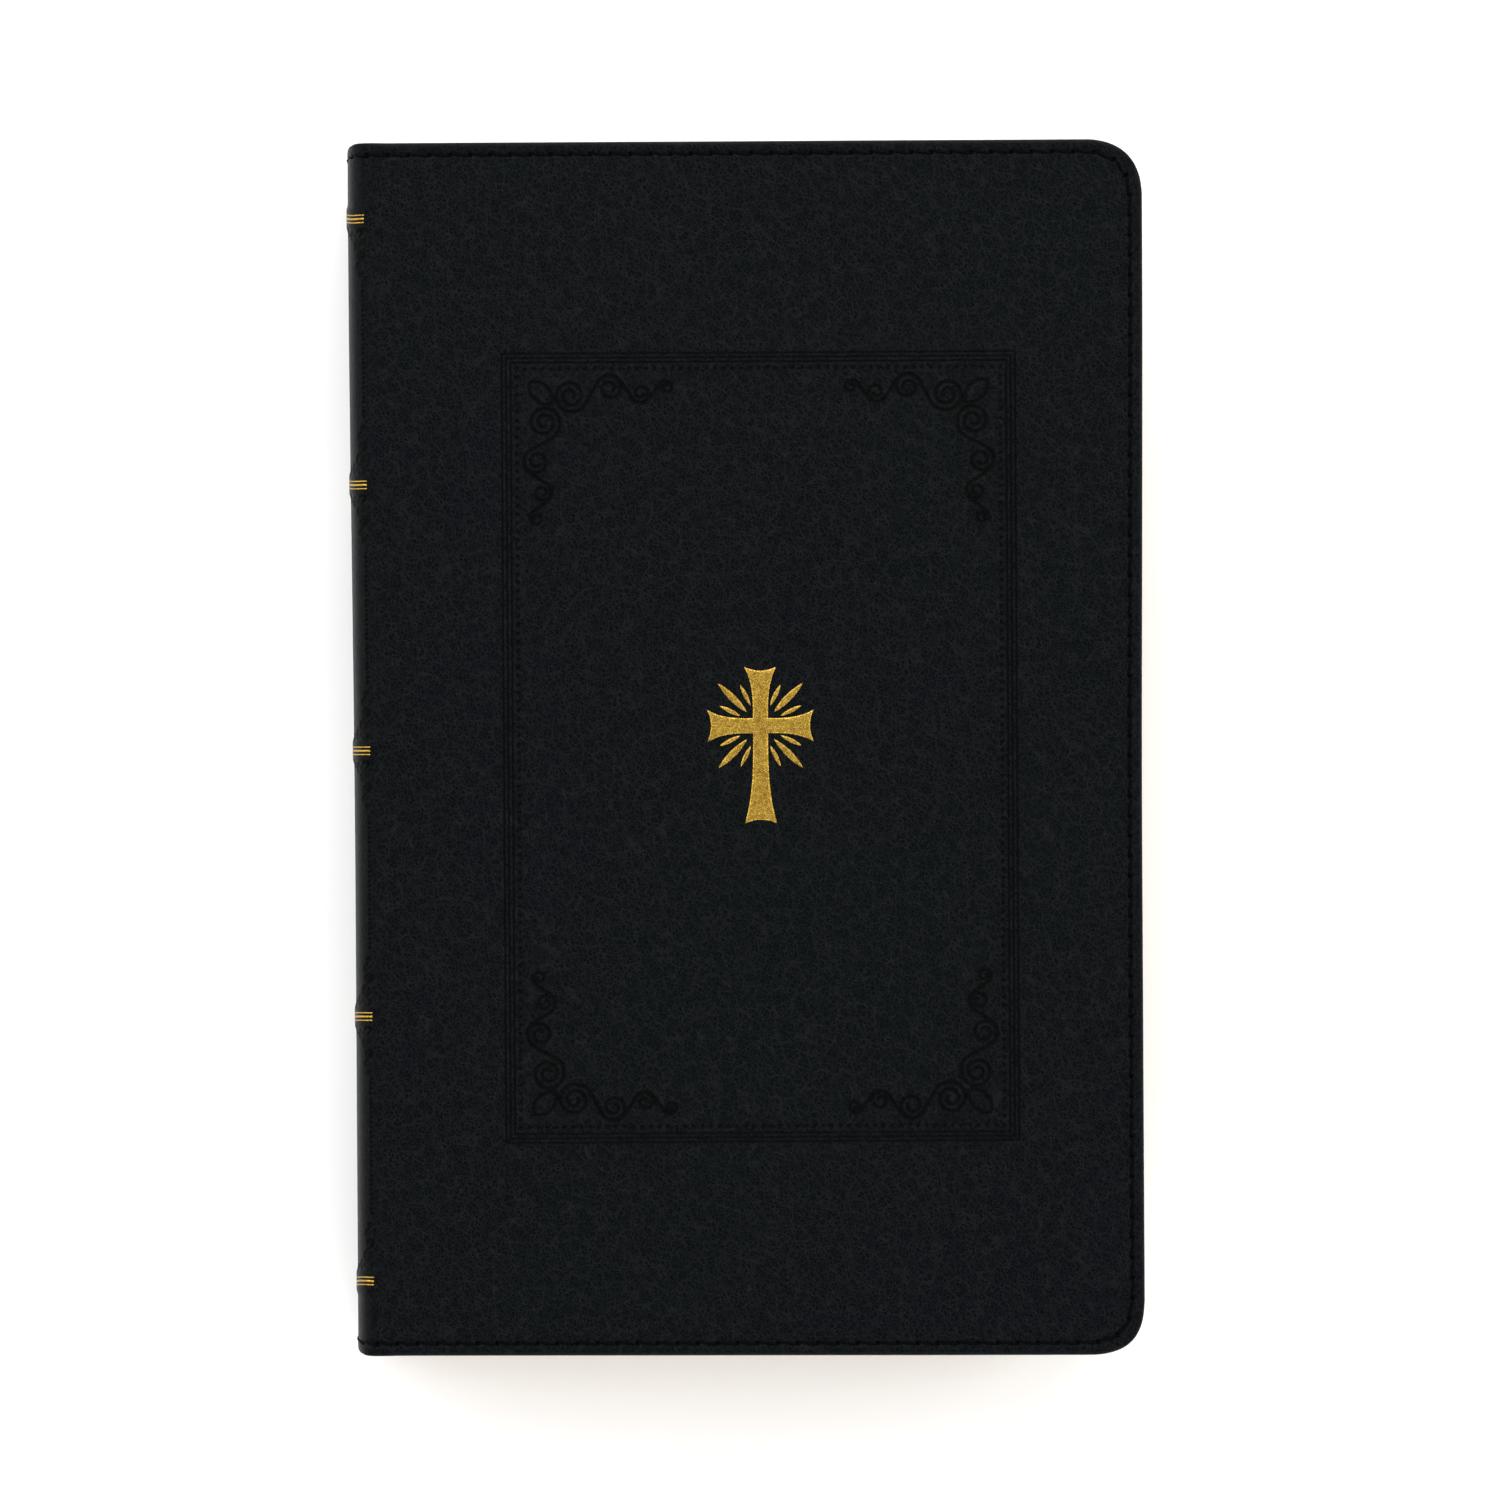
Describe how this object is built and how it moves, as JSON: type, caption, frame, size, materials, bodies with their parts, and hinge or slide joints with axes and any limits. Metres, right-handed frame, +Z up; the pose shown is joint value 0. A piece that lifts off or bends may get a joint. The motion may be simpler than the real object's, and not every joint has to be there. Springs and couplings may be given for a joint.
{
  "type": "bible",
  "caption": "Closed imitation-leather bible with stitched cover edge, raised spine bands, turning front and back covers and loose front leaves.",
  "frame": {"origin": "middle of the closed book's footprint, on the surface it lies on (underside of the back cover)", "axes": "+X from the spine to the fore edge, +Y towards the head of the page, +Z up through the closed book to the front cover"},
  "size_m": [0.1424, 0.2186, 0.028],
  "materials": {
    "leather": "black imitation leather, fine pebbled grain, low sheen",
    "thread": "black sewing thread",
    "gold_foil": "hot-stamped gold foil, slightly worn",
    "board": "grey book board",
    "lining": "smooth black bonded lining",
    "endpaper": "black coated endpaper",
    "pages": "thin cream paper with gilt edges",
    "glue": "dry bookbinder's glue",
    "mull": "open-weave mull cloth",
    "liner": "brown kraft paper",
    "headband_cloth": "woven headband, gold and black stripes"
  },
  "bodies": {
    "back_cover": {"back_cover_leather": "leather", "back_cover_thread": "thread", "back_cover_board": "board", "back_cover_lining": "lining", "back_bobbin_thread": "thread", "back_pastedown": "endpaper"},
    "book_block": {"spine_leather": "leather", "raised_band_1": "board", "raised_band_2": "board", "raised_band_3": "board", "raised_band_4": "board", "raised_band_5": "board", "spine_head_thread": "thread", "spine_tail_thread": "thread", "spine_glue": "glue", "spine_mull": "mull", "spine_liner": "liner", "spine_stiffener": "board", "headband": "headband_cloth", "tailband": "headband_cloth", "section_01": "pages", "section_02": "pages", "section_03": "pages", "section_04": "pages", "section_05": "pages", "section_06": "pages", "section_07": "pages", "section_08": "pages", "section_09": "pages", "section_10": "pages", "section_11": "pages", "section_12": "pages", "section_13": "pages", "section_14": "pages", "section_15": "pages", "section_16": "pages", "front_leaf_guard": "pages", "back_leaf_guard": "pages"},
    "front_cover": {"front_cover_leather": "leather", "front_cover_thread": "thread", "front_cover_board": "board", "front_cover_lining": "lining", "front_bobbin_thread": "thread", "front_pastedown": "endpaper"},
    "front_flyleaf": {"front_flyleaf": "endpaper"},
    "presentation_leaf": {"presentation_leaf": "pages"},
    "title_leaf": {"title_leaf": "pages"},
    "contents_leaf": {"contents_leaf": "pages"},
    "first_text_leaf": {"first_text_leaf": "pages"},
    "back_flyleaf": {"back_flyleaf": "endpaper"}
  },
  "joints": [
    {"name": "front_cover_hinge", "type": "hinge", "parent": "book_block", "child": "front_cover", "pos_m": [-0.06565, 0, 0.02805], "axis": [0, -1, 0], "range_deg": [0, 179]},
    {"name": "back_cover_hinge", "type": "hinge", "parent": "back_cover", "child": "book_block", "pos_m": [-0.07125, 0, 0], "axis": [0, 1, 0], "range_deg": [-90, 0]},
    {"name": "front_flyleaf_turn", "type": "hinge", "parent": "book_block", "child": "front_flyleaf", "pos_m": [-0.06, 0, 0.02582], "axis": [0, -1, 0], "range_deg": [0, 118.64]},
    {"name": "presentation_leaf_turn", "type": "hinge", "parent": "book_block", "child": "presentation_leaf", "pos_m": [-0.06, 0, 0.02552], "axis": [0, -1, 0], "range_deg": [0, 97.16]},
    {"name": "title_leaf_turn", "type": "hinge", "parent": "book_block", "child": "title_leaf", "pos_m": [-0.06, 0, 0.02522], "axis": [0, -1, 0], "range_deg": [0, 75.68]},
    {"name": "contents_leaf_turn", "type": "hinge", "parent": "book_block", "child": "contents_leaf", "pos_m": [-0.06, 0, 0.02492], "axis": [0, -1, 0], "range_deg": [0, 54.2]},
    {"name": "first_text_leaf_turn", "type": "hinge", "parent": "book_block", "child": "first_text_leaf", "pos_m": [-0.06, 0, 0.02462], "axis": [0, -1, 0], "range_deg": [0, 32.72]},
    {"name": "back_flyleaf_turn", "type": "hinge", "parent": "book_block", "child": "back_flyleaf", "pos_m": [-0.06, 0, 0.00218], "axis": [0, 1, 0], "range_deg": [0, 45.5]}
  ],
  "couplings": [
    {"joint": "front_flyleaf_turn", "follows": "front_cover_hinge", "ratio": 0.66},
    {"joint": "presentation_leaf_turn", "follows": "front_cover_hinge", "ratio": 0.54},
    {"joint": "title_leaf_turn", "follows": "front_cover_hinge", "ratio": 0.42},
    {"joint": "contents_leaf_turn", "follows": "front_cover_hinge", "ratio": 0.3},
    {"joint": "first_text_leaf_turn", "follows": "front_cover_hinge", "ratio": 0.18},
    {"joint": "back_flyleaf_turn", "follows": "back_cover_hinge", "ratio": -0.5}
  ]
}
